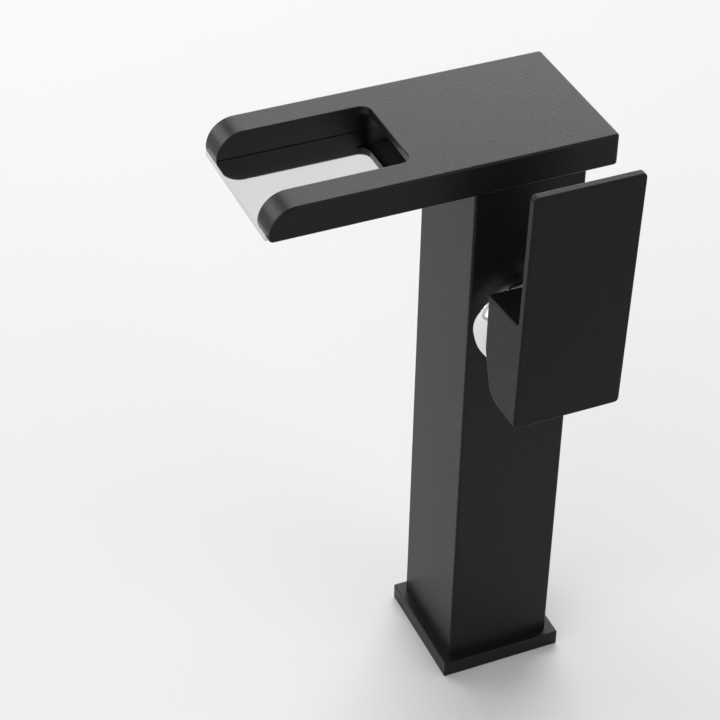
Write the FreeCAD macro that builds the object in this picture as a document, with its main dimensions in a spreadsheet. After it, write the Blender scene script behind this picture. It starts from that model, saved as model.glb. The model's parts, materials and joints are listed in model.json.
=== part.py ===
import FreeCAD, Part
import os
import re
import Sketcher

# Tall single-lever waterfall basin mixer, deck mounted, lever on its right-hand side.
# Millimetres, +Z up, spout towards -Y, lever on +X, origin on the deck in the middle of the base plate.

SIZES = {
    # base plate and column
    "base_width": 50.5,
    "base_thickness": 6.5,
    "base_edge_round": 0.5,
    "column_width": 43.1,
    "column_height": 229.2,
    "column_edge_round": 1.0,
    "gasket_inner_radius": 19.5,
    "gasket_width": 3.0,
    "gasket_thickness": 2.0,
    # what goes through and under the deck
    "deck_thickness": 25.0,
    "shank_radius": 16.0,
    "shank_bore_radius": 13.0,
    "shank_length": 50.0,
    "shank_head_radius": 18.8,
    "shank_head_length": 12.0,
    "shank_hole_gap": 0.4,
    "washer_radius": 25.0,
    "rubber_washer_thickness": 3.0,
    "steel_washer_thickness": 1.5,
    "lock_nut_radius": 25.0,
    "lock_nut_thickness": 8.0,
    "thread_gap": 0.05,
    # inlets and risers inside the column
    "cavity_radius": 17.5,
    "cavity_gap": 0.2,
    "cavity_roof_drop": 28.0,
    "inlet_flange_thickness": 4.0,
    "inlet_block_length": 13.5,
    "inlet_port_radius": 4.5,
    "inlet_port_depth": 11.0,
    "inlet_port_spacing": 13.0,
    "inlet_port_set_back": 3.0,
    "riser_radius": 4.0,
    "riser_bore_radius": 3.0,
    "riser_spacing": 13.0,
    "riser_set_back": 9.0,
    "riser_socket_depth": 8.0,
    "riser_end_gap": 2.0,
    "ring_section_radius": 0.75,
    "fit_gap": 0.05,
    # cartridge seat in the column
    "valve_height": 171.9,
    "cartridge_radius": 17.5,
    "cartridge_gap": 0.2,
    "cartridge_depth": 25.55,
    "mouth_thread_radius": 19.0,
    "mouth_depth": 8.5,
    "inlet_drop": 3.0,
    "outlet_rise": 9.0,
    "outlet_radius": 3.5,
    "outlet_set_back": 10.5,
    "crossing_step": 0.4,
    "drill_run_out": 0.8,
    "chamber_radius": 15.0,
    "chamber_depth": 31.0,
    "locating_pin_radius": 1.5,
    "locating_pin_length": 2.0,
    "locating_pin_spacing": 18.0,
    "locating_pin_drop": 10.0,
    # cartridge stack along its axis
    "cartridge_base_thickness": 5.0,
    "port_seal_width": 1.4,
    "port_seal_thickness": 1.5,
    "fixed_disc_radius": 15.6,
    "fixed_disc_thickness": 3.0,
    "disc_gap": 0.05,
    "moving_disc_radius": 11.5,
    "moving_disc_thickness": 3.5,
    "mixing_pocket_depth": 2.0,
    "mixing_pocket_radius": 6.5,
    "mixing_pocket_rise": 3.2,
    "carrier_thickness": 4.0,
    "carrier_lug": 0.8,
    "guide_gap": 0.3,
    "guide_flange_radius": 15.0,
    "guide_flange_thickness": 1.5,
    "guide_radius": 12.4,
    "guide_reach": 2.45,
    "guide_slot_length": 17.0,
    "running_gap": 0.1,
    "housing_bore_radius": 15.7,
    "housing_wall": 1.8,
    "housing_neck_radius": 14.8,
    "ball_radius": 2.4,
    "ball_gap": 0.25,
    "ball_neck_radius": 1.4,
    "lever_arm": 7.8,
    "pivot_pin_radius": 1.5,
    "pivot_pin_length": 21.0,
    "stem_width": 8.0,
    "stem_shoulder_drop": 3.0,
    # lock nut and bonnet
    "bonnet_thread_radius": 16.0,
    "bonnet_thread_length": 5.0,
    "bonnet_radius": 20.3,
    "bonnet_rim": 2.5,
    "bonnet_height": 9.4,
    "bonnet_mouth_radius": 11.0,
    # lever handle, an L seen from the side
    "handle_gap": 11.95,
    "handle_width": 42.0,
    "handle_depth": 25.9,
    "handle_drop": 17.9,
    "handle_rise": 81.5,
    "plate_thickness": 3.6,
    "plate_lean": 3.1,
    "block_rise": 23.5,
    "block_top_slope": 2.5,
    "block_bottom_slope": 0.8,
    "heel_drop": 0.2,
    "heel_knee_depth": 4.7,
    "heel_knee_drop": 15.7,
    "heel_foot_depth": 10.5,
    "heel_round": 7.0,
    "notch_round": 2.0,
    "handle_corner_round": 1.8,
    "handle_edge_round": 0.8,
    "handle_pocket_radius": 11.0,
    "handle_pocket_depth": 3.0,
    "socket_depth": 16.0,
    "stem_end_gap": 0.5,
    "grip_screw_radius": 2.5,
    "grip_screw_length": 9.0,
    "grip_screw_set_back": 4.5,
    "grip_plug_radius": 3.2,
    "grip_plug_thickness": 3.0,
    "grip_plug_recess": 0.4,
    # spout with its open waterfall end
    "spout_width": 61.1,
    "spout_thickness": 12.4,
    "spout_reach": 101.2,
    "spout_back": 28.2,
    "slot_width": 38.2,
    "slot_back": 45.0,
    "slot_corner_round": 4.0,
    "nose_round": 10.4,
    "tip_round": 1.6,
    "spout_back_round": 1.4,
    "spout_edge_round": 1.0,
    "slot_edge_round": 0.4,
    "tray_width": 56.0,
    "tray_thickness": 2.4,
    "tray_lip": 0.7,
    "tray_gap": 0.1,
    "shadow_gap": 0.3,
    "channel_width": 39.0,
    "channel_height": 7.0,
    "spigot_radius": 14.8,
    "spigot_bore_radius": 11.0,
    "spigot_length": 13.0,
    "spigot_window": 15.0,
    "spigot_ring_drop": 9.5,
    "spigot_ring_section": 1.0,
    "spigot_screw_drop": 4.5,
    "spigot_screw_radius": 2.5,
    "spigot_screw_recess": 0.6,
    "tray_screw_radius": 1.5,
    "tray_screw_head_radius": 2.8,
    "tray_screw_length": 7.0,
    "tray_screw_spacing": 47.0,
    "tray_screw_front": 84.0,
    "tray_screw_back": 32.0,
    "tray_screw_gap": 0.15,
    "hex_recess_radius": 1.4,
    "hex_recess_depth": 1.8,
}

doc = FreeCAD.newDocument("basin_mixer")
sheet = doc.addObject("Spreadsheet::Sheet", "Sizes")
for row, (alias, size) in enumerate(SIZES.items(), start=1):
    sheet.set(f"A{row}", alias)
    sheet.set(f"B{row}", str(size))
    sheet.setAlias(f"B{row}", alias)
doc.recompute()

# Levels and distances worked out from the sheet, as expressions
COLUMN_TOP = "base_thickness + column_height"
COLUMN_FACE = "column_width / 2"
INLET_BOTTOM = "base_thickness + shank_head_length"
INLET_SEAT = f"{INLET_BOTTOM} + inlet_flange_thickness"
INLET_TOP = f"{INLET_SEAT} + inlet_block_length"
CAVITY_ROOF = "valve_height - cavity_roof_drop"
CARTRIDGE_FLOOR = f"{COLUMN_FACE} - cartridge_depth"
BASE_TOP = f"{CARTRIDGE_FLOOR} + cartridge_base_thickness"
FIXED_TOP = f"{BASE_TOP} + fixed_disc_thickness"
MOVING_BOTTOM = f"{FIXED_TOP} + disc_gap"
MOVING_TOP = f"{MOVING_BOTTOM} + moving_disc_thickness"
CARRIER_TOP = f"{MOVING_TOP} + carrier_thickness"
GUIDE_BOTTOM = f"{CARRIER_TOP} + guide_gap"
GUIDE_FLANGE_TOP = f"{GUIDE_BOTTOM} + guide_flange_thickness"
GUIDE_TOP = f"{COLUMN_FACE} + guide_reach"
SHOULDER_INSIDE = f"{GUIDE_FLANGE_TOP} + guide_gap"
SHOULDER_OUTSIDE = f"{SHOULDER_INSIDE} + housing_wall"
BALL_CENTRE = f"{MOVING_TOP} + ball_gap + ball_radius"
PIVOT = f"{BALL_CENTRE} + lever_arm"
NUT_TOP = f"{COLUMN_FACE} + bonnet_thread_length"
BONNET_TOP = f"{COLUMN_FACE} + bonnet_height"
HANDLE_FACE = f"{COLUMN_FACE} + handle_gap"
SOCKET_MOUTH = f"{HANDLE_FACE} + handle_pocket_depth"
SOCKET_END = f"{SOCKET_MOUTH} + socket_depth"
STEM_END = f"{SOCKET_END} - stem_end_gap"
GRIP_SCREW = f"{SOCKET_END} - grip_screw_set_back"
GRIP_INSET = "handle_pocket_depth + socket_depth - grip_screw_set_back"
GRIP_UNDERSIDE = f"0 - handle_drop - block_bottom_slope * (1 - ({GRIP_INSET}) / handle_depth)"
RING_OUTER = "riser_radius + 2 * ring_section_radius + fit_gap"
WASHER_TOP = "0 - deck_thickness"
NUT_UNDER_DECK = f"{WASHER_TOP} - rubber_washer_thickness - steel_washer_thickness - lock_nut_thickness"
SIDES = (-1, 1)

ALONG_X = FreeCAD.Rotation(FreeCAD.Vector(0, 1, 0), 90)
ALONG_Y = FreeCAD.Rotation(FreeCAD.Vector(1, 0, 0), -90)
ALONG_Z = FreeCAD.Rotation()
POINTING_DOWN = FreeCAD.Rotation(FreeCAD.Vector(1, 0, 0), 180)


def bound(text):
    """The same expression with each size's name pointing at its cell of the sheet."""
    return re.sub(r"[a-z_]+", lambda word: f"Sizes.{word[0]}" if word[0] in SIZES else word[0], text)


def size_of(text):
    """The number that an expression gives now."""
    return float(sheet.evalExpression(bound(text)))


def bind(item, **expressions):
    """Tie properties of a document object to the sheet; x, y and z stand for its place."""
    for name, text in expressions.items():
        path = f"Placement.Base.{name}" if name in ("x", "y", "z") else name
        item.setExpression(path, bound(text))
    return item


def new_body(label, level="0"):
    """An empty body whose own origin lies on the column's axis at the given level."""
    body = doc.addObject("PartDesign::Body", label)
    body.Label = label
    return bind(body, z=level)


def sketch_on(body, name, role, lift="0"):
    """A sketch on one of the body's origin planes, lifted along the plane's normal."""
    sketch = body.newObject("Sketcher::SketchObject", name)
    plane = [feature for feature in body.Origin.OriginFeatures if feature.Role == role][0]
    sketch.AttachmentSupport = [(plane, "")]
    sketch.MapMode = "FlatFace"
    sketch.setExpression("AttachmentOffset.Base.z", bound(lift))
    return sketch


def pin_point(sketch, line, end, across, up):
    """Fix one end of a sketch line at bound coordinates; zero keeps it on the axis."""
    for text, axis, kind in ((across, -2, "DistanceX"), (up, -1, "DistanceY")):
        if text == "0":
            sketch.addConstraint(Sketcher.Constraint("PointOnObject", line, end, axis))
            continue
        number = sketch.addConstraint(Sketcher.Constraint(kind, -1, 1, line, end, size_of(text)))
        sketch.setExpression(f"Constraints[{number}]", bound(text))


def polygon(sketch, corners):
    """A closed outline whose corners are pairs of expressions."""
    places = [FreeCAD.Vector(size_of(across), size_of(up), 0) for across, up in corners]
    count = len(corners)
    for index in range(count):
        sketch.addGeometry(Part.LineSegment(places[index], places[(index + 1) % count]))
    for index, (across, up) in enumerate(corners):
        sketch.addConstraint(Sketcher.Constraint("Coincident", index, 2, (index + 1) % count, 1))
        pin_point(sketch, index, 1, across, up)
    return sketch


def rectangle(left, right, low, high):
    return [(left, low), (right, low), (right, high), (left, high)]


def square(width):
    return rectangle(f"0 - {width} / 2", f"{width} / 2", f"0 - {width} / 2", f"{width} / 2")


def pad(body, corners, length, role="XY_Plane", lift="0", both_ways=False):
    """Stretch an outline from its plane; both_ways shares the length out to the two sides."""
    profile = polygon(sketch_on(body, "Outline", role, lift), corners)
    feature = body.newObject("PartDesign::Pad", "Pad")
    feature.Profile = profile
    feature.Midplane = both_ways
    return bind(feature, Length=length)


def turn(body, corners, axis, kind="Revolution"):
    """Spin an outline of the XZ plane about the body's X (H_Axis) or Z (V_Axis)."""
    profile = polygon(sketch_on(body, "Section", "XZ_Plane"), corners)
    feature = body.newObject(f"PartDesign::{kind}", kind)
    feature.Profile = profile
    feature.ReferenceAxis = (profile, [axis])
    feature.Angle = 360
    return feature


def turned(label, corners, axis="V_Axis", level="0"):
    body = new_body(label, level)
    turn(body, corners, axis)
    return body


def tube_section(inner, outer, low, high):
    """Section of a plain ring or tube about a vertical axis."""
    return [(inner, low), (outer, low), (outer, high), (inner, high)]


def bar_section(inner, outer, low, high):
    """Section of a plain ring or tube about the cartridge axis."""
    return [(low, inner), (high, inner), (high, outer), (low, outer)]


def primitive(body, kind, turned_to, place, **sizes):
    """An additive or subtractive primitive of a body, placed in the body's own frame."""
    feature = body.newObject(f"PartDesign::{kind}", kind)
    feature.MapMode = "Deactivated"
    feature.Placement = FreeCAD.Placement(FreeCAD.Vector(), turned_to)
    across, along, up = place
    return bind(feature, x=across, y=along, z=up, **sizes)


def drill(body, radius, length, place, turned_to=ALONG_Z):
    return primitive(body, "SubtractiveCylinder", turned_to, place, Radius=radius, Height=length)


def cut_box(body, place, across, along, up):
    return primitive(body, "SubtractiveBox", ALONG_Z, place, Length=across, Width=along, Height=up)


def round_edges(body, radius, chosen):
    """Fillet the edges of the body's tip that the test picks."""
    doc.recompute()
    base = body.Tip
    names = [f"Edge{number}" for number, edge in enumerate(base.Shape.Edges, start=1) if chosen(edge)]
    feature = body.newObject("PartDesign::Fillet", "Round")
    feature.Base = (base, names)
    return bind(feature, Radius=radius)


def near(first, second):
    return abs(first - second) < 0.001


def runs_along(edge, axis):
    """True for a straight edge that keeps its other two coordinates."""
    box = edge.BoundBox
    spans = {"x": box.XLength, "y": box.YLength, "z": box.ZLength}
    return spans[axis] > 0.001 and all(spans[other] < 0.001 for other in spans if other != axis)


def middle(edge):
    return edge.BoundBox.Center


def group(label, members):
    """Identical small pieces as one sub-part of separate solids."""
    together = doc.addObject("Part::Compound", label)
    together.Label = label
    together.Links = members
    return together


def ring(label, major, section, place, turned_to=ALONG_Z):
    """A round rubber ring."""
    item = doc.addObject("Part::Torus", label)
    item.Label = label
    item.Placement = FreeCAD.Placement(FreeCAD.Vector(), turned_to)
    across, along, up = place
    return bind(item, Radius1=major, Radius2=section, x=across, y=along, z=up)


def signed(side, text):
    return text if side > 0 else f"0 - ({text})"


# Base plate and column

def make_base_flange():
    body = new_body("base_flange")
    pad(body, square("base_width"), "base_thickness")
    top = size_of("base_thickness")
    round_edges(body, "base_edge_round", lambda edge: runs_along(edge, "z") or near(middle(edge).z, top))
    drill(body, "shank_radius + shank_hole_gap", "base_thickness", ("0", "0", "0"))
    seat = tube_section(
        "gasket_inner_radius", "gasket_inner_radius + gasket_width", "0", "gasket_thickness"
    )
    turn(body, seat, "V_Axis", "Groove")
    return body


def make_base_gasket():
    outer = "gasket_inner_radius + gasket_width - fit_gap"
    section = tube_section("gasket_inner_radius + fit_gap", outer, "0", "gasket_thickness")
    return turned("base_gasket", section)


def drill_waterways(body):
    """Riser sockets, the two inlet ways to the cartridge seat and the mixed way up to the spout."""
    back = "0 - riser_set_back"
    for side in SIDES:
        along = signed(side, "riser_spacing / 2")
        drill(body, RING_OUTER, "2 * ring_section_radius + fit_gap", (back, along, CAVITY_ROOF))
        drill(body, "riser_radius + fit_gap", "riser_socket_depth", (back, along, CAVITY_ROOF))
        rise = "cavity_roof_drop - inlet_drop + riser_bore_radius + drill_run_out"
        drill(body, "riser_bore_radius + crossing_step", rise, (back, along, CAVITY_ROOF))
        cross = (back, along, "valve_height - inlet_drop")
        drill(body, "riser_bore_radius", f"{CARTRIDGE_FLOOR} + riser_set_back", cross, ALONG_X)
    out = "0 - outlet_set_back"
    cross = (out, "0", "valve_height + outlet_rise")
    drill(body, "outlet_radius", f"{CARTRIDGE_FLOOR} + outlet_set_back", cross, ALONG_X)
    start = "valve_height + outlet_rise - outlet_radius - drill_run_out"
    climb = f"{COLUMN_TOP} - chamber_depth - ({start})"
    drill(body, "outlet_radius + crossing_step", climb, (out, "0", start))


def make_column_body():
    body = new_body("column_body")
    pad(body, square("column_width"), "column_height", lift="base_thickness")
    round_edges(body, "column_edge_round", lambda edge: runs_along(edge, "z"))
    drill(body, "shank_head_radius", f"{INLET_SEAT} - base_thickness", ("0", "0", "base_thickness"))
    drill(body, "cavity_radius", f"{CAVITY_ROOF} - base_thickness", ("0", "0", "base_thickness"))
    drill(body, "chamber_radius", "chamber_depth", ("0", "0", f"{COLUMN_TOP} - chamber_depth"))
    drill_waterways(body)
    seat = (CARTRIDGE_FLOOR, "0", "valve_height")
    drill(body, "cartridge_radius + cartridge_gap", "cartridge_depth", seat, ALONG_X)
    mouth = (f"{COLUMN_FACE} - mouth_depth", "0", "valve_height")
    drill(body, "mouth_thread_radius", "mouth_depth", mouth, ALONG_X)
    for side in SIDES:
        along = signed(side, "locating_pin_spacing / 2")
        depth = "locating_pin_length + fit_gap"
        hole = (f"{CARTRIDGE_FLOOR} - ({depth})", along, "valve_height - locating_pin_drop")
        drill(body, "locating_pin_radius + fit_gap", depth, hole, ALONG_X)
    screw = ("0", "0", f"{COLUMN_TOP} - spigot_screw_drop")
    drill(body, "spigot_screw_radius + thread_gap", COLUMN_FACE, screw, ALONG_Y)
    return body


# Through the deck

def make_mounting_shank():
    head = "shank_head_radius - thread_gap"
    section = [
        ("shank_bore_radius", "0 - shank_length"),
        ("shank_radius", "0 - shank_length"),
        ("shank_radius", "base_thickness"),
        (head, "base_thickness"),
        (head, INLET_BOTTOM),
        ("shank_bore_radius", INLET_BOTTOM),
    ]
    return turned("mounting_shank", section)


def make_washer(label, top, thickness):
    section = tube_section("shank_radius + shank_hole_gap", "washer_radius", f"{top} - {thickness}", top)
    return turned(label, section)


def make_deck_lock_nut():
    hexagon = doc.addObject("Part::Prism", "lock_nut_hexagon")
    hexagon.Polygon = 6
    bind(hexagon, Circumradius="lock_nut_radius", Height="lock_nut_thickness", z=NUT_UNDER_DECK)
    thread = doc.addObject("Part::Cylinder", "lock_nut_thread")
    bind(thread, Radius="shank_radius + thread_gap", Height="lock_nut_thickness", z=NUT_UNDER_DECK)
    nut = doc.addObject("Part::Cut", "deck_lock_nut")
    nut.Label = "deck_lock_nut"
    nut.Base = hexagon
    nut.Tool = thread
    return nut


# Inlets and risers

def make_inlet_block():
    body = new_body("inlet_block")
    flange = "shank_head_radius - thread_gap"
    waist = "cavity_radius - cavity_gap"
    section = [
        ("0", INLET_BOTTOM),
        (flange, INLET_BOTTOM),
        (flange, INLET_SEAT),
        (waist, INLET_SEAT),
        (waist, INLET_TOP),
        ("0", INLET_TOP),
    ]
    turn(body, section, "V_Axis")
    for side in SIDES:
        port = ("0 - inlet_port_set_back", signed(side, "inlet_port_spacing / 2"), INLET_BOTTOM)
        drill(body, "inlet_port_radius", "inlet_port_depth", port)
        back = "0 - riser_set_back"
        along = signed(side, "riser_spacing / 2")
        socket = (back, along, f"{INLET_TOP} - riser_socket_depth")
        drill(body, "riser_radius + fit_gap", "riser_socket_depth", socket)
        gland_depth = "2 * ring_section_radius + fit_gap"
        drill(body, RING_OUTER, gland_depth, (back, along, f"{INLET_TOP} - ({gland_depth})"))
    return body


def make_riser(label, side):
    low = f"{INLET_TOP} - riser_socket_depth + riser_end_gap"
    high = f"{CAVITY_ROOF} + riser_socket_depth - riser_end_gap"
    body = turned(label, tube_section("riser_bore_radius", "riser_radius", low, high))
    return bind(body, x="0 - riser_set_back", y=signed(side, "riser_spacing / 2"))


def make_riser_rings():
    levels = (f"{INLET_TOP} - ring_section_radius", f"{CAVITY_ROOF} + ring_section_radius")
    rings = []
    for side in SIDES:
        for level in levels:
            place = ("0 - riser_set_back", signed(side, "riser_spacing / 2"), level)
            major = "riser_radius + ring_section_radius + fit_gap / 2"
            rings.append(ring("riser_ring", major, "ring_section_radius", place))
    return group("riser_o_rings", rings)


# Spout

def tray_screw_places():
    """Plan places of the four tray screws, from the column's axis."""
    for side in SIDES:
        for reach in ("tray_screw_front", "tray_screw_back"):
            yield signed(side, "tray_screw_spacing / 2"), f"0 - {reach}"


def make_spout_shell():
    body = new_body("spout_shell", COLUMN_TOP)
    half = "spout_width / 2"
    slot = "slot_width / 2"
    outline = [
        (f"0 - {half}", "spout_back"),
        (f"0 - {half}", "0 - spout_reach"),
        (f"0 - {slot}", "0 - spout_reach"),
        (f"0 - {slot}", "0 - slot_back"),
        (slot, "0 - slot_back"),
        (slot, "0 - spout_reach"),
        (half, "0 - spout_reach"),
        (half, "spout_back"),
    ]
    pad(body, outline, "spout_thickness")
    top = size_of("spout_thickness")
    front = size_of("0 - spout_reach")
    slot_end = size_of("0 - slot_back")
    slot_side = size_of(slot)

    def in_front(edge, level):
        return runs_along(edge, "x") and near(middle(edge).y, front) and near(middle(edge).z, level)

    def at_back(edge):
        return runs_along(edge, "z") and middle(edge).y > 0

    def at_slot_end(edge):
        return runs_along(edge, "z") and near(middle(edge).y, slot_end)

    def around_slot(edge):
        point = middle(edge)
        return abs(point.x) < slot_side + 0.001 and point.y < slot_end + 0.001

    round_edges(body, "slot_corner_round", at_slot_end)
    round_edges(body, "nose_round", lambda edge: in_front(edge, top))
    round_edges(body, "tip_round", lambda edge: in_front(edge, 0))
    round_edges(body, "spout_back_round", at_back)
    round_edges(body, "spout_edge_round", lambda edge: near(middle(edge).z, top) and not around_slot(edge))
    round_edges(body, "slot_edge_round", lambda edge: near(middle(edge).z, top) and around_slot(edge))
    side_wall = "(spout_width - tray_width) / 2"
    seat_length = f"spout_reach + spout_back - {side_wall}"
    cut_box(body, ("0 - tray_width / 2", "0 - spout_reach", "0"), "tray_width", seat_length, "tray_thickness")
    gap_start = (f"0 - {slot} - shadow_gap", "0 - spout_reach", "tray_thickness")
    cut_box(body, gap_start, "slot_width + 2 * shadow_gap", "spout_reach - slot_back", "shadow_gap")
    channel = ("0 - channel_width / 2", "0 - slot_back - slot_corner_round", "tray_thickness")
    cut_box(body, channel, "channel_width", "slot_back + slot_corner_round", "channel_height")
    boss_height = "spigot_length + tray_thickness + channel_height"
    below = ("0", "0", "0 - spigot_length")
    primitive(body, "AdditiveCylinder", ALONG_Z, below, Radius="spigot_radius", Height=boss_height)
    drill(body, "spigot_bore_radius", boss_height, below)
    window = ("0 - spigot_window / 2", "0 - spigot_radius", "tray_thickness")
    cut_box(body, window, "spigot_window", "spigot_radius", "channel_height")
    ring_floor = "chamber_radius - 2 * spigot_ring_section - fit_gap"
    half_land = "spigot_ring_section + fit_gap"
    land = tube_section(
        ring_floor,
        "spigot_radius",
        f"0 - spigot_ring_drop - ({half_land})",
        f"0 - spigot_ring_drop + {half_land}",
    )
    turn(body, land, "V_Axis", "Groove")
    for across, along in tray_screw_places():
        depth = "tray_screw_length + tray_screw_gap - tray_thickness"
        drill(body, "tray_screw_radius + thread_gap", depth, (across, along, "tray_thickness"))
    return body


def make_waterfall_tray():
    body = new_body("waterfall_tray", COLUMN_TOP)
    half = "tray_width / 2 - tray_gap"
    back = "spout_back - (spout_width - tray_width) / 2 - tray_gap"
    pad(body, rectangle(f"0 - ({half})", half, "0 - spout_reach - tray_lip", back), "tray_thickness")
    drill(body, "spigot_radius + tray_gap", "tray_thickness", ("0", "0", "0"))
    for across, along in tray_screw_places():
        place = (across, along, "0")
        drill(body, "tray_screw_radius + tray_screw_gap", "tray_thickness", place)
        primitive(
            body,
            "SubtractiveCone",
            ALONG_Z,
            place,
            Radius1="tray_screw_head_radius + tray_screw_gap",
            Radius2="tray_screw_radius + tray_screw_gap",
            Height="tray_screw_head_radius - tray_screw_radius",
        )
    return body


def make_tray_screws():
    """Countersunk screws that hold the tray up from below."""
    screws = []
    for across, along in tray_screw_places():
        screw = turned("tray_screw", [
            ("0", "0"),
            ("tray_screw_head_radius", "0"),
            ("tray_screw_radius", "tray_screw_head_radius - tray_screw_radius"),
            ("tray_screw_radius", "tray_screw_length"),
            ("0", "tray_screw_length"),
        ])
        drill(screw, "hex_recess_radius", "hex_recess_depth", ("0", "0", "0"))
        screws.append(bind(screw, x=across, y=along, z=COLUMN_TOP))
    return group("tray_screws", screws)


def make_spout_ring():
    major = "chamber_radius - spigot_ring_section - fit_gap / 2"
    place = ("0", "0", f"{COLUMN_TOP} - spigot_ring_drop")
    return ring("spout_o_ring", major, "spigot_ring_section", place)


def make_grub_screw(label, radius, length, turned_to, place):
    """A headless screw with a socket in its outer end; its own Z runs from tip to socket."""
    body = turned(label, [("0", "0"), (radius, "0"), (radius, length), ("0", length)])
    drill(body, "hex_recess_radius", "hex_recess_depth", ("0", "0", f"{length} - hex_recess_depth"))
    body.Placement = FreeCAD.Placement(FreeCAD.Vector(), turned_to)
    across, along, up = place
    return bind(body, x=across, y=along, z=up)


def make_spout_screw():
    length = f"{COLUMN_FACE} - spigot_radius - spigot_screw_recess"
    place = ("0", "spigot_radius", f"{COLUMN_TOP} - spigot_screw_drop")
    return make_grub_screw("spout_set_screw", "spigot_screw_radius", length, ALONG_Y, place)


# Cartridge

def port_places():
    """Bore, sideways place and height of the two inlets and the outlet, from the cartridge axis."""
    for side in SIDES:
        yield "riser_bore_radius", signed(side, "riser_spacing / 2"), "0 - inlet_drop"
    yield "outlet_radius", "0", "outlet_rise"


def make_cartridge_base():
    body = turned(
        "cartridge_base",
        bar_section("0", "cartridge_radius", CARTRIDGE_FLOOR, BASE_TOP),
        "H_Axis",
        "valve_height",
    )
    for bore, along, up in port_places():
        drill(body, bore, "cartridge_base_thickness", (CARTRIDGE_FLOOR, along, up), ALONG_X)
        seat = f"{bore} + port_seal_width + fit_gap"
        drill(body, seat, "port_seal_thickness", (CARTRIDGE_FLOOR, along, up), ALONG_X)
    for side in SIDES:
        along = signed(side, "locating_pin_spacing / 2")
        place = (f"{CARTRIDGE_FLOOR} - locating_pin_length", along, "0 - locating_pin_drop")
        length = "locating_pin_length + port_seal_thickness"
        primitive(body, "AdditiveCylinder", ALONG_X, place, Radius="locating_pin_radius", Height=length)
    return body


def make_port_seals():
    seals = []
    for bore, along, up in port_places():
        section = bar_section(
            bore, f"{bore} + port_seal_width", CARTRIDGE_FLOOR, f"{CARTRIDGE_FLOOR} + port_seal_thickness"
        )
        seal = turned("port_seal", section, "H_Axis")
        seals.append(bind(seal, y=along, z=f"valve_height + {up}"))
    return group("cartridge_port_seals", seals)


def make_fixed_disc():
    body = turned(
        "fixed_ceramic_disc",
        bar_section("0", "fixed_disc_radius", BASE_TOP, FIXED_TOP),
        "H_Axis",
        "valve_height",
    )
    for bore, along, up in port_places():
        drill(body, bore, "fixed_disc_thickness", (BASE_TOP, along, up), ALONG_X)
    return body


def make_moving_disc():
    body = turned(
        "moving_ceramic_disc",
        bar_section("0", "moving_disc_radius", MOVING_BOTTOM, MOVING_TOP),
        "H_Axis",
        "valve_height",
    )
    pocket = (MOVING_BOTTOM, "0", "mixing_pocket_rise")
    drill(body, "mixing_pocket_radius", "mixing_pocket_depth", pocket, ALONG_X)
    return body


def make_disc_carrier():
    section = bar_section("ball_radius + ball_gap", "moving_disc_radius", MOVING_TOP, CARRIER_TOP)
    body = turned("disc_carrier", section, "H_Axis", "valve_height")
    groove = bar_section(
        "moving_disc_radius - carrier_lug",
        "moving_disc_radius",
        f"{MOVING_TOP} + carrier_thickness / 4",
        f"{MOVING_TOP} + carrier_thickness * 3 / 4",
    )
    turn(body, groove, "H_Axis", "Groove")
    return body


def make_cartridge_housing():
    section = [
        (BASE_TOP, "housing_bore_radius"),
        (BASE_TOP, "cartridge_radius"),
        (SHOULDER_OUTSIDE, "cartridge_radius"),
        (SHOULDER_OUTSIDE, "housing_neck_radius"),
        (GUIDE_TOP, "housing_neck_radius"),
        (GUIDE_TOP, "guide_radius + running_gap"),
        (SHOULDER_INSIDE, "guide_radius + running_gap"),
        (SHOULDER_INSIDE, "housing_bore_radius"),
    ]
    return turned("cartridge_housing", section, "H_Axis", "valve_height")


def make_lever_guide():
    section = [
        (GUIDE_BOTTOM, "0"),
        (GUIDE_BOTTOM, "guide_flange_radius"),
        (GUIDE_FLANGE_TOP, "guide_flange_radius"),
        (GUIDE_FLANGE_TOP, "guide_radius"),
        (GUIDE_TOP, "guide_radius"),
        (GUIDE_TOP, "0"),
    ]
    body = turned("lever_guide", section, "H_Axis", "valve_height")
    slot_width = "stem_width + 2 * running_gap"
    corner = (GUIDE_BOTTOM, f"0 - ({slot_width}) / 2", "0 - guide_slot_length / 2")
    cut_box(body, corner, f"{GUIDE_TOP} - ({GUIDE_BOTTOM})", slot_width, "guide_slot_length")
    drill(body, "pivot_pin_radius", "pivot_pin_length", (PIVOT, "0 - pivot_pin_length / 2", "0"), ALONG_Y)
    return body


def make_pivot_pin():
    pin = doc.addObject("Part::Cylinder", "pivot_pin")
    pin.Label = "pivot_pin"
    pin.Placement = FreeCAD.Placement(FreeCAD.Vector(), ALONG_Y)
    bind(pin, Radius="pivot_pin_radius", Height="pivot_pin_length")
    return bind(pin, x=PIVOT, y="0 - pivot_pin_length / 2", z="valve_height")


def make_lever_stem():
    """Square stem with a ball end that pushes the disc carrier."""
    body = new_body("lever_stem", "valve_height")
    shoulder = f"{PIVOT} - stem_shoulder_drop"
    pad(body, square("stem_width"), f"{STEM_END} - ({shoulder})", "YZ_Plane", shoulder)
    neck = (BALL_CENTRE, "0", "0")
    length = f"{PIVOT} - ({BALL_CENTRE})"
    primitive(body, "AdditiveCylinder", ALONG_X, neck, Radius="ball_neck_radius", Height=length)
    primitive(body, "AdditiveSphere", ALONG_X, neck, Radius="ball_radius")
    hole = (PIVOT, "0 - stem_width / 2", "0")
    drill(body, "pivot_pin_radius + fit_gap", "stem_width", hole, ALONG_Y)
    return body


def make_cartridge_nut():
    section = [
        (SHOULDER_OUTSIDE, "housing_neck_radius + running_gap"),
        (SHOULDER_OUTSIDE, "mouth_thread_radius - thread_gap"),
        (COLUMN_FACE, "mouth_thread_radius - thread_gap"),
        (COLUMN_FACE, "bonnet_thread_radius - thread_gap"),
        (NUT_TOP, "bonnet_thread_radius - thread_gap"),
        (NUT_TOP, "housing_neck_radius + running_gap"),
    ]
    return turned("cartridge_nut", section, "H_Axis", "valve_height")


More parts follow.
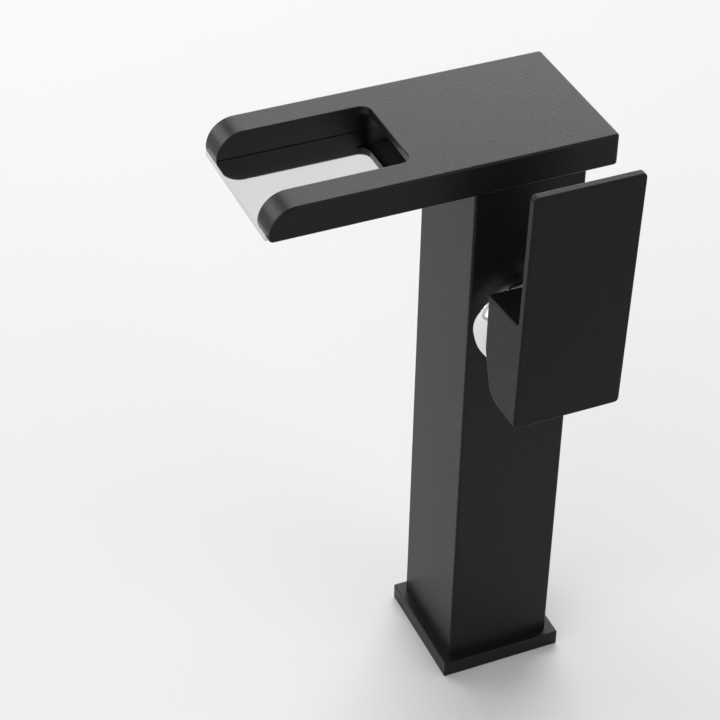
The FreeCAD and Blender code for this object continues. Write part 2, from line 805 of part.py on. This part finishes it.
def make_bonnet_cap():
    """Domed trim cap that screws on the cartridge nut and hides it."""
    body = new_body("bonnet_cap", "valve_height")
    outer = [
        (COLUMN_FACE, "0"),
        (COLUMN_FACE, "bonnet_radius"),
        (BONNET_TOP, "bonnet_radius"),
        (BONNET_TOP, "0"),
    ]
    turn(body, outer, "H_Axis")
    rim = size_of("bonnet_radius")
    top = size_of(BONNET_TOP)

    def on_crown(edge):
        return near(edge.BoundBox.ZLength, 2 * rim) and near(middle(edge).x, top)

    round_edges(body, "bonnet_height - bonnet_rim", on_crown)
    drill(body, "bonnet_thread_radius", "bonnet_thread_length", (COLUMN_FACE, "0", "0"), ALONG_X)
    drill(body, "bonnet_mouth_radius", "bonnet_height", (COLUMN_FACE, "0", "0"), ALONG_X)
    return body


# Lever handle

def make_handle_lever():
    body = new_body("handle_lever", "valve_height")
    outer = f"{HANDLE_FACE} + handle_depth"
    notch_level = "block_rise + block_top_slope"
    lean_at_notch = f"plate_lean * ({notch_level} + handle_drop) / (handle_rise + handle_drop)"
    foot_slope = "block_bottom_slope * (1 - heel_foot_depth / handle_depth)"
    outline = [
        (HANDLE_FACE, "block_rise"),
        (HANDLE_FACE, "0 - heel_drop"),
        (f"{HANDLE_FACE} + heel_knee_depth", "0 - heel_knee_drop"),
        (f"{HANDLE_FACE} + heel_foot_depth", f"0 - handle_drop - {foot_slope}"),
        (outer, "0 - handle_drop"),
        (f"{outer} + plate_lean", "handle_rise"),
        (f"{outer} + plate_lean - plate_thickness", "handle_rise"),
        (f"{outer} + {lean_at_notch} - plate_thickness", notch_level),
    ]
    pad(body, outline, "handle_width", "XZ_Plane", both_ways=True)
    heel = [(size_of(across), size_of(up)) for across, up in outline[1:4]]
    notch = [(size_of(across), size_of(up)) for across, up in outline[-1:]]

    def at_corner(edge, corners):
        point = middle(edge)
        return runs_along(edge, "y") and any(near(point.x, x) and near(point.z, z) for x, z in corners)

    round_edges(body, "heel_round", lambda edge: at_corner(edge, heel))
    round_edges(body, "notch_round", lambda edge: at_corner(edge, notch))
    half = size_of("handle_width / 2")
    plate_top = size_of("handle_rise")
    outer_foot = size_of("0 - handle_drop")

    def on_side(edge):
        return near(abs(middle(edge).y), half)

    def at_plate_end(edge):
        box = edge.BoundBox
        return near(box.ZMin, plate_top) or near(box.ZMax, outer_foot)

    round_edges(body, "handle_corner_round", lambda edge: on_side(edge) and at_plate_end(edge))
    round_edges(body, "handle_edge_round", on_side)
    drill(body, "handle_pocket_radius", "handle_pocket_depth", (HANDLE_FACE, "0", "0"), ALONG_X)
    socket_width = "stem_width + 2 * fit_gap"
    low = f"0 - ({socket_width}) / 2"
    cut_box(body, (SOCKET_MOUTH, low, low), "socket_depth", socket_width, socket_width)
    underside = "0 - handle_drop - block_bottom_slope"
    drill(body, "grip_screw_radius + thread_gap", f"0 - ({underside})", (GRIP_SCREW, "0", underside))
    plug_end = f"{GRIP_UNDERSIDE} + grip_plug_recess + grip_plug_thickness"
    drill(body, "grip_plug_radius + fit_gap", f"{plug_end} - ({underside})", (GRIP_SCREW, "0", underside))
    return body


def make_handle_screw():
    """Grub screw that clamps the handle on the stem, reached from below."""
    place = (GRIP_SCREW, "0", "valve_height - stem_width / 2")
    return make_grub_screw("handle_set_screw", "grip_screw_radius", "grip_screw_length", POINTING_DOWN, place)


def make_handle_plug():
    """Press-in cover of the grub screw's hole, dished for a fingernail."""
    low = f"{GRIP_UNDERSIDE} + grip_plug_recess"
    high = f"{low} + grip_plug_thickness"
    section = [
        ("0", f"{low} + grip_plug_recess"),
        ("grip_plug_radius / 2", low),
        ("grip_plug_radius", low),
        ("grip_plug_radius", high),
        ("0", high),
    ]
    return bind(turned("set_screw_plug", section, level="valve_height"), x=GRIP_SCREW)


def main():
    parts = [
        make_base_flange(),
        make_base_gasket(),
        make_column_body(),
        make_mounting_shank(),
        make_washer("rubber_deck_washer", WASHER_TOP, "rubber_washer_thickness"),
        make_washer("steel_deck_washer", f"{WASHER_TOP} - rubber_washer_thickness", "steel_washer_thickness"),
        make_deck_lock_nut(),
        make_inlet_block(),
        make_riser("hot_riser", -1),
        make_riser("cold_riser", 1),
        make_riser_rings(),
        make_spout_shell(),
        make_waterfall_tray(),
        make_tray_screws(),
        make_spout_ring(),
        make_spout_screw(),
        make_cartridge_base(),
        make_port_seals(),
        make_fixed_disc(),
        make_moving_disc(),
        make_disc_carrier(),
        make_cartridge_housing(),
        make_lever_guide(),
        make_pivot_pin(),
        make_lever_stem(),
        make_cartridge_nut(),
        make_bonnet_cap(),
        make_handle_lever(),
        make_handle_screw(),
        make_handle_plug(),
    ]
    doc.recompute()
    for item in doc.Objects:
        if "Invalid" in item.State or "Error" in item.State:
            raise RuntimeError(f"{item.Label} ({item.Name}) failed: {item.State}")
    for item in parts:
        if item.Shape.isNull() or not item.Shape.isValid():
            raise RuntimeError(f"{item.Label} has no valid shape")
    os.makedirs("parts", exist_ok=True)
    for item in parts:
        item.Shape.exportStep(f"parts/{item.Label}.step")
        box = item.Shape.BoundBox
        print(f"{item.Label:22s} solids {len(item.Shape.Solids)} volume {item.Shape.Volume:10.1f}"
              f"  x {box.XMin:7.2f} {box.XMax:7.2f}  y {box.YMin:7.2f} {box.YMax:7.2f}"
              f"  z {box.ZMin:7.2f} {box.ZMax:7.2f}")


main()
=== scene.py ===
import json
import math
import bpy
from mathutils import Matrix, Vector

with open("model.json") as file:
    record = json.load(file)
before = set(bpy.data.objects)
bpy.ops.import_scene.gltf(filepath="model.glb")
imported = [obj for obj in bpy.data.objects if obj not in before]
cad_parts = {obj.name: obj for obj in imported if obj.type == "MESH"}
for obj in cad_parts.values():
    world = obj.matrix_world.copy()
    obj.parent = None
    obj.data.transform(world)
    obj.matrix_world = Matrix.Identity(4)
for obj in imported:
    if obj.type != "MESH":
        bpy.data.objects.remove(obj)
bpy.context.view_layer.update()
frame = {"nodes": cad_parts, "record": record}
scene = bpy.context.scene
scene.view_settings.view_transform = "Standard"

# Camera: place in metres, angles in degrees, lens and sensor in millimetres
CAMERA_PLACE = Vector((0.61198, -0.32673, 0.67509))
CAMERA_AZIMUTH = 65.995
CAMERA_ELEVATION = 37.991
CAMERA_ROLL = 1.250
CAMERA_LENS = 116.0
CAMERA_SENSOR = 36.0
CAMERA_NEAREST = 0.01

# Floor: it lies a hair below the base, so that the two faces don't coincide
FLOOR_SIZE = 6.0
FLOOR_LEVEL = -0.0002
FLOOR_LIGHT = (0.56, 0.56, 0.56)
FLOOR_DARK = tuple(0.99 * channel for channel in FLOOR_LIGHT)
FLOOR_ROUGHNESS = 0.8
FLOOR_SHINE = 0.08

# Room: brightness, the side on which it is dim, and how far round it turns dim
ROOM_BRIGHT = 1.05
ROOM_DIM = 0.48
ROOM_DIM_SIDE = Vector((0.75, -0.66, 0.0))
ROOM_TURN = (-0.1, 0.6)

# Ceiling: height, where 1 is overhead, and the share of the room's brightness there
CEILING_STOPS = (
    (0.62, 1.0),
    (0.85, 0.04),
    (0.88, 0.04),
    (0.915, 0.24),
    (0.96, 0.24),
    (0.976, 0.05),
)

# Panels: name, direction from the target, distance, width, height and brightness
PANEL_TARGET = Vector((0.0, -0.02, 0.15))
PANELS = (
    ("high_panel", (-0.56, 0.25, 0.79), 4.5, 3.6, 2.1, 6.2),
    ("low_panel", (-0.88, 0.42, 0.24), 4.5, 3.6, 1.65, 4.7),
    ("front_fill", (0.30, -0.78, 0.55), 3.0, 3.4, 3.4, 1.5),
    ("right_panel", (0.73, 0.45, 0.52), 3.0, 2.0, 1.4, 2.0),
    ("left_panel", (-0.76, -0.55, 0.34), 3.0, 2.0, 1.2, 5.2),
)

# Surface noises: scale per metre, detail and roughness
FLOOR_CLOUD = (3.0, 2.0, 0.5)
PAINT_CLOUD = (35.0, 8.0, 0.75)
PAINT_GRAIN = (1400.0, 3.0, 0.7)
PLATING_WAVE = (60.0, 2.0, 0.5)
TOOL_MARKS = (900.0, 4.0, 0.7)
MOULD_DETAIL = 3.0
MOULD_ROUGHNESS = 0.6

# Depth of the grain that the light catches, in metres
PAINT_DEPTH = 0.00010
FINE_DEPTH = 0.00001

# Black paints: least and greatest roughness, shine, and whether the waterway gets painted fill light
PAINTS = {
    "black_paint": (0.27, 0.35, 0.135, False),
    "handle_paint": (0.36, 0.46, 0.095, False),
    "spout_paint_with_painted_fill": (0.27, 0.35, 0.135, True),
}
PAINT_DARK = (0.0064, 0.0064, 0.0065)
PAINT_LIGHT = (0.0088, 0.0088, 0.0089)

# Painted fill light in the spout's waterway: a grey painted into the black coat so that the recess
# reads lighter than its shade; each limit fades in over the distance between its two places
PAINTED_FILL_DARK = (0.09, 0.09, 0.09)
PAINTED_FILL_LIGHT = (0.11, 0.11, 0.11)
PAINTED_FILL_FRONT = ("Y", -0.0448, -0.0410)
PAINTED_FILL_LIMITS = (
    ("X", -0.0205, -0.0202),
    ("X", 0.0205, 0.0202),
    ("Y", 0.0230, 0.0220),
    ("Z", 0.2460, 0.2455),
)

# Chrome of the bonnet and of the tray, whose underside is painted up to the paint line; the tray's
# chrome is painted shade, a darker copy of the bonnet's plating
CHROME_DARK = (0.74, 0.75, 0.76)
CHROME_LIGHT = (0.80, 0.81, 0.82)
CHROME_ROUGHNESS = (0.03, 0.07)
TRAY_SHADED_DARK = (0.60, 0.61, 0.62)
TRAY_SHADED_LIGHT = (0.66, 0.67, 0.68)
TRAY_PAINT_LINE = ("Z", 0.23575, 0.23580)
TRAY_ROUGHNESS_PAINTED = 0.31
TRAY_ROUGHNESS_PLATED = 0.05
TRAY_SHINE = 0.15

# Machined metals: dark and light colour, least and greatest roughness
METALS = {
    "raw_brass": ((0.66, 0.49, 0.22), (0.76, 0.59, 0.30), 0.22, 0.36),
    "copper_tube": ((0.62, 0.32, 0.20), (0.74, 0.42, 0.28), 0.20, 0.34),
    "stainless": ((0.50, 0.50, 0.51), (0.62, 0.62, 0.63), 0.24, 0.38),
}

# Rubber, plastic and ceramic: dark and light colour, least and greatest roughness, grain scale
MOULDINGS = {
    "black_rubber": ((0.014, 0.014, 0.014), (0.024, 0.024, 0.024), 0.6, 0.75, 1500.0),
    "cartridge_plastic": ((0.80, 0.80, 0.77), (0.87, 0.87, 0.85), 0.35, 0.5, 1200.0),
    "alumina": ((0.86, 0.84, 0.79), (0.92, 0.90, 0.86), 0.12, 0.2, 2000.0),
    "black_plastic": ((0.014, 0.014, 0.015), (0.022, 0.022, 0.023), 0.4, 0.5, 2000.0),
}

# Nodes with a finish of their own; the others take their slot's
OWN_FINISH = {
    "handle_lever": "handle_paint",
    "spout_shell": "spout_paint_with_painted_fill",
    "waterfall_tray": "shaded_tray_chrome",
}

# Sockets of the Mix node when it mixes colours
MIX_FACTOR = 0
MIX_FIRST = 6
MIX_SECOND = 7
MIX_RESULT = 2


def make_camera():
    azimuth = math.radians(CAMERA_AZIMUTH)
    elevation = math.radians(CAMERA_ELEVATION)
    back = Vector((
        math.sin(azimuth) * math.cos(elevation),
        -math.cos(azimuth) * math.cos(elevation),
        math.sin(elevation),
    ))
    level_right = Vector((math.cos(azimuth), math.sin(azimuth), 0.0))
    right = Matrix.Rotation(math.radians(CAMERA_ROLL), 3, back) @ level_right
    up = back.cross(right)
    data = bpy.data.cameras.new("camera")
    data.lens = CAMERA_LENS
    data.sensor_width = CAMERA_SENSOR
    data.clip_start = CAMERA_NEAREST
    camera = bpy.data.objects.new("camera", data)
    axes = Matrix((right, up, back)).transposed().to_4x4()
    camera.matrix_world = Matrix.Translation(CAMERA_PLACE) @ axes
    scene.collection.objects.link(camera)
    scene.camera = camera


def new_material(name):
    """A material, its node tree and its one Principled shader."""
    material = bpy.data.materials.new(name)
    material.use_nodes = True
    tree = material.node_tree
    shader = tree.nodes["Principled BSDF"]
    return material, tree, shader


def noise(tree, scale, detail, roughness):
    """Even three-dimensional noise in the part's own metres."""
    place = tree.nodes.new("ShaderNodeTexCoord")
    texture = tree.nodes.new("ShaderNodeTexNoise")
    texture.inputs["Scale"].default_value = scale
    texture.inputs["Detail"].default_value = detail
    texture.inputs["Roughness"].default_value = roughness
    tree.links.new(place.outputs["Object"], texture.inputs["Vector"])
    return texture.outputs["Fac"]


def spread(tree, factor, low, high):
    """The factor stretched between two values."""
    node = tree.nodes.new("ShaderNodeMapRange")
    node.inputs["To Min"].default_value = low
    node.inputs["To Max"].default_value = high
    tree.links.new(factor, node.inputs["Value"])
    return node.outputs["Result"]


def tint(tree, factor, dark, light):
    """The factor as a colour between two colours."""
    node = tree.nodes.new("ShaderNodeMix")
    node.data_type = "RGBA"
    node.inputs[MIX_FIRST].default_value = (*dark, 1.0)
    node.inputs[MIX_SECOND].default_value = (*light, 1.0)
    tree.links.new(factor, node.inputs[MIX_FACTOR])
    return node.outputs[MIX_RESULT]


def blend(tree, factor, first, second):
    """A colour between two colour outputs."""
    node = tree.nodes.new("ShaderNodeMix")
    node.data_type = "RGBA"
    tree.links.new(factor, node.inputs[MIX_FACTOR])
    tree.links.new(first, node.inputs[MIX_FIRST])
    tree.links.new(second, node.inputs[MIX_SECOND])
    return node.outputs[MIX_RESULT]


def multiply(tree, first, second):
    node = tree.nodes.new("ShaderNodeMath")
    node.operation = "MULTIPLY"
    tree.links.new(first, node.inputs[0])
    tree.links.new(second, node.inputs[1])
    return node.outputs["Value"]


def bump(tree, shader, height, depth):
    node = tree.nodes.new("ShaderNodeBump")
    node.inputs["Strength"].default_value = 1.0
    node.inputs["Distance"].default_value = depth
    tree.links.new(height, node.inputs["Height"])
    tree.links.new(node.outputs["Normal"], shader.inputs["Normal"])


def step_along(tree, axis, start, end):
    """A factor that rises from 0 to 1 between two places along one axis of the part."""
    place = tree.nodes.new("ShaderNodeTexCoord")
    split = tree.nodes.new("ShaderNodeSeparateXYZ")
    step = tree.nodes.new("ShaderNodeMapRange")
    step.inputs["From Min"].default_value = start
    step.inputs["From Max"].default_value = end
    tree.links.new(place.outputs["Object"], split.inputs["Vector"])
    tree.links.new(split.outputs[axis], step.inputs["Value"])
    return step.outputs["Result"]


def black_paint(name, low, high, shine, waterway_fill_painted):
    """Matte black powder coat: a fine dry grain over slow, faint cloudiness, with painted fill light in
    the spout's waterway where asked.
    """
    material, tree, shader = new_material(name)
    cloud = noise(tree, *PAINT_CLOUD)
    grain = noise(tree, *PAINT_GRAIN)
    colour = tint(tree, grain, PAINT_DARK, PAINT_LIGHT)
    # The waterway is painted a lighter grey than the black coat: painted fill light that lifts the
    # recess out of its shade.
    if waterway_fill_painted:
        painted_fill_colour = tint(tree, grain, PAINTED_FILL_DARK, PAINTED_FILL_LIGHT)
        painted_fill_mask = step_along(tree, *PAINTED_FILL_FRONT)
        for limit in PAINTED_FILL_LIMITS:
            painted_fill_mask = multiply(tree, painted_fill_mask, step_along(tree, *limit))
        colour = blend(tree, painted_fill_mask, colour, painted_fill_colour)
    tree.links.new(colour, shader.inputs["Base Color"])
    tree.links.new(spread(tree, cloud, low, high), shader.inputs["Roughness"])
    shader.inputs["Specular IOR Level"].default_value = shine
    bump(tree, shader, grain, PAINT_DEPTH)
    return material


def mirror_chrome():
    """Bright plating with the faintest polishing waviness."""
    material, tree, shader = new_material("mirror_chrome")
    wave = noise(tree, *PLATING_WAVE)
    shader.inputs["Metallic"].default_value = 1.0
    tree.links.new(tint(tree, wave, CHROME_DARK, CHROME_LIGHT), shader.inputs["Base Color"])
    tree.links.new(spread(tree, wave, *CHROME_ROUGHNESS), shader.inputs["Roughness"])
    return material


def shaded_tray_chrome():
    """The bonnet's plating painted darker as painted shade, with the spout's black paint on the
    underside.
    """
    material, tree, shader = new_material("shaded_tray_chrome")
    wave = noise(tree, *PLATING_WAVE)
    grain = noise(tree, *PAINT_GRAIN)
    plated = step_along(tree, *TRAY_PAINT_LINE)
    paint = tint(tree, grain, PAINT_DARK, PAINT_LIGHT)
    # The tray's chrome is painted darker than the bonnet's: painted shade on the same plating.
    chrome = tint(tree, wave, TRAY_SHADED_DARK, TRAY_SHADED_LIGHT)
    roughness = spread(tree, plated, TRAY_ROUGHNESS_PAINTED, TRAY_ROUGHNESS_PLATED)
    tree.links.new(blend(tree, plated, paint, chrome), shader.inputs["Base Color"])
    tree.links.new(plated, shader.inputs["Metallic"])
    tree.links.new(roughness, shader.inputs["Roughness"])
    shader.inputs["Specular IOR Level"].default_value = TRAY_SHINE
    return material


def machined_metal(name, dark, light, low, high):
    """Turned or drawn metal with fine tool marks."""
    material, tree, shader = new_material(name)
    marks = noise(tree, *TOOL_MARKS)
    shader.inputs["Metallic"].default_value = 1.0
    tree.links.new(tint(tree, marks, dark, light), shader.inputs["Base Color"])
    tree.links.new(spread(tree, marks, low, high), shader.inputs["Roughness"])
    bump(tree, shader, marks, FINE_DEPTH)
    return material


def moulded(name, dark, light, low, high, grain_scale):
    """Moulded plastic, rubber or pressed ceramic with a fine surface."""
    material, tree, shader = new_material(name)
    grain = noise(tree, grain_scale, MOULD_DETAIL, MOULD_ROUGHNESS)
    tree.links.new(tint(tree, grain, dark, light), shader.inputs["Base Color"])
    tree.links.new(spread(tree, grain, low, high), shader.inputs["Roughness"])
    bump(tree, shader, grain, FINE_DEPTH)
    return material


def make_materials():
    """Every finish under its plain name, which the frame's own materials may have taken already."""
    materials = {name: black_paint(name, *values) for name, values in PAINTS.items()}
    materials["mirror_chrome"] = mirror_chrome()
    materials["shaded_tray_chrome"] = shaded_tray_chrome()
    for name, values in METALS.items():
        materials[name] = machined_metal(name, *values)
    for name, values in MOULDINGS.items():
        materials[name] = moulded(name, *values)
    return materials


def dress_nodes(materials):
    """Give every CAD node its own finish, or that of its slot in the record."""
    for part in frame["record"]["subparts"]:
        name = part["node"]
        finish = OWN_FINISH.get(name, part["material_slot"])
        mesh = frame["nodes"][name].data
        mesh.materials.clear()
        mesh.materials.append(materials[finish])


def make_floor():
    material, tree, shader = new_material("floor_white")
    cloud = noise(tree, *FLOOR_CLOUD)
    tree.links.new(tint(tree, cloud, FLOOR_DARK, FLOOR_LIGHT), shader.inputs["Base Color"])
    shader.inputs["Roughness"].default_value = FLOOR_ROUGHNESS
    shader.inputs["Specular IOR Level"].default_value = FLOOR_SHINE
    half = FLOOR_SIZE / 2
    outline = ((-half, -half), (half, -half), (half, half), (-half, half))
    corners = [(x, y, FLOOR_LEVEL) for x, y in outline]
    mesh = bpy.data.meshes.new("floor")
    mesh.from_pydata(corners, [], [(0, 1, 2, 3)])
    mesh.materials.append(material)
    floor = bpy.data.objects.new("floor", mesh)
    scene.collection.objects.link(floor)


def make_panel(name, direction, distance, width, height, level):
    """A soft panel facing the part; level is its brightness, where 1 is a white surface."""
    data = bpy.data.lights.new(name, "AREA")
    data.shape = "RECTANGLE"
    data.size = width
    data.size_y = height
    data.energy = level * math.pi * width * height
    light = bpy.data.objects.new(name, data)
    toward = Vector(direction).normalized()
    light.location = PANEL_TARGET + toward * distance
    light.rotation_euler = toward.to_track_quat("Z", "Y").to_euler()
    scene.collection.objects.link(light)


def room_level(tree, direction):
    """The room's brightness round the part: bright, and dim on one side."""
    side = tree.nodes.new("ShaderNodeVectorMath")
    side.operation = "DOT_PRODUCT"
    side.inputs[1].default_value = ROOM_DIM_SIDE
    level = tree.nodes.new("ShaderNodeMapRange")
    level.interpolation_type = "SMOOTHSTEP"
    turn_start, turn_end = ROOM_TURN
    level.inputs["From Min"].default_value = turn_start
    level.inputs["From Max"].default_value = turn_end
    level.inputs["To Min"].default_value = ROOM_BRIGHT
    level.inputs["To Max"].default_value = ROOM_DIM
    tree.links.new(direction, side.inputs[0])
    tree.links.new(side.outputs["Value"], level.inputs["Value"])
    return level.outputs["Result"]


def ceiling_share(tree, direction):
    """The share of the room's brightness at each height."""
    split = tree.nodes.new("ShaderNodeSeparateXYZ")
    ceiling = tree.nodes.new("ShaderNodeValToRGB")
    ramp = ceiling.color_ramp
    ramp.interpolation = "EASE"
    while len(ramp.elements) < len(CEILING_STOPS):
        ramp.elements.new(1.0)
    for stop, (height, share) in zip(ramp.elements, CEILING_STOPS):
        stop.position = height
        stop.color = (share, share, share, 1.0)
    tree.links.new(direction, split.inputs["Vector"])
    tree.links.new(split.outputs["Z"], ceiling.inputs["Fac"])
    return ceiling.outputs["Color"]


def make_world():
    """A white room, dim in front on the right, whose dark ceiling has a pale ring overhead."""
    world = bpy.data.worlds.new("studio")
    scene.world = world
    world.use_nodes = True
    tree = world.node_tree
    background = tree.nodes["Background"]
    direction = tree.nodes.new("ShaderNodeTexCoord").outputs["Generated"]
    strength = multiply(tree, room_level(tree, direction), ceiling_share(tree, direction))
    tree.links.new(strength, background.inputs["Strength"])
    background.inputs["Color"].default_value = (1.0, 1.0, 1.0, 1.0)


make_camera()
dress_nodes(make_materials())
make_floor()
make_world()
for panel in PANELS:
    make_panel(*panel)
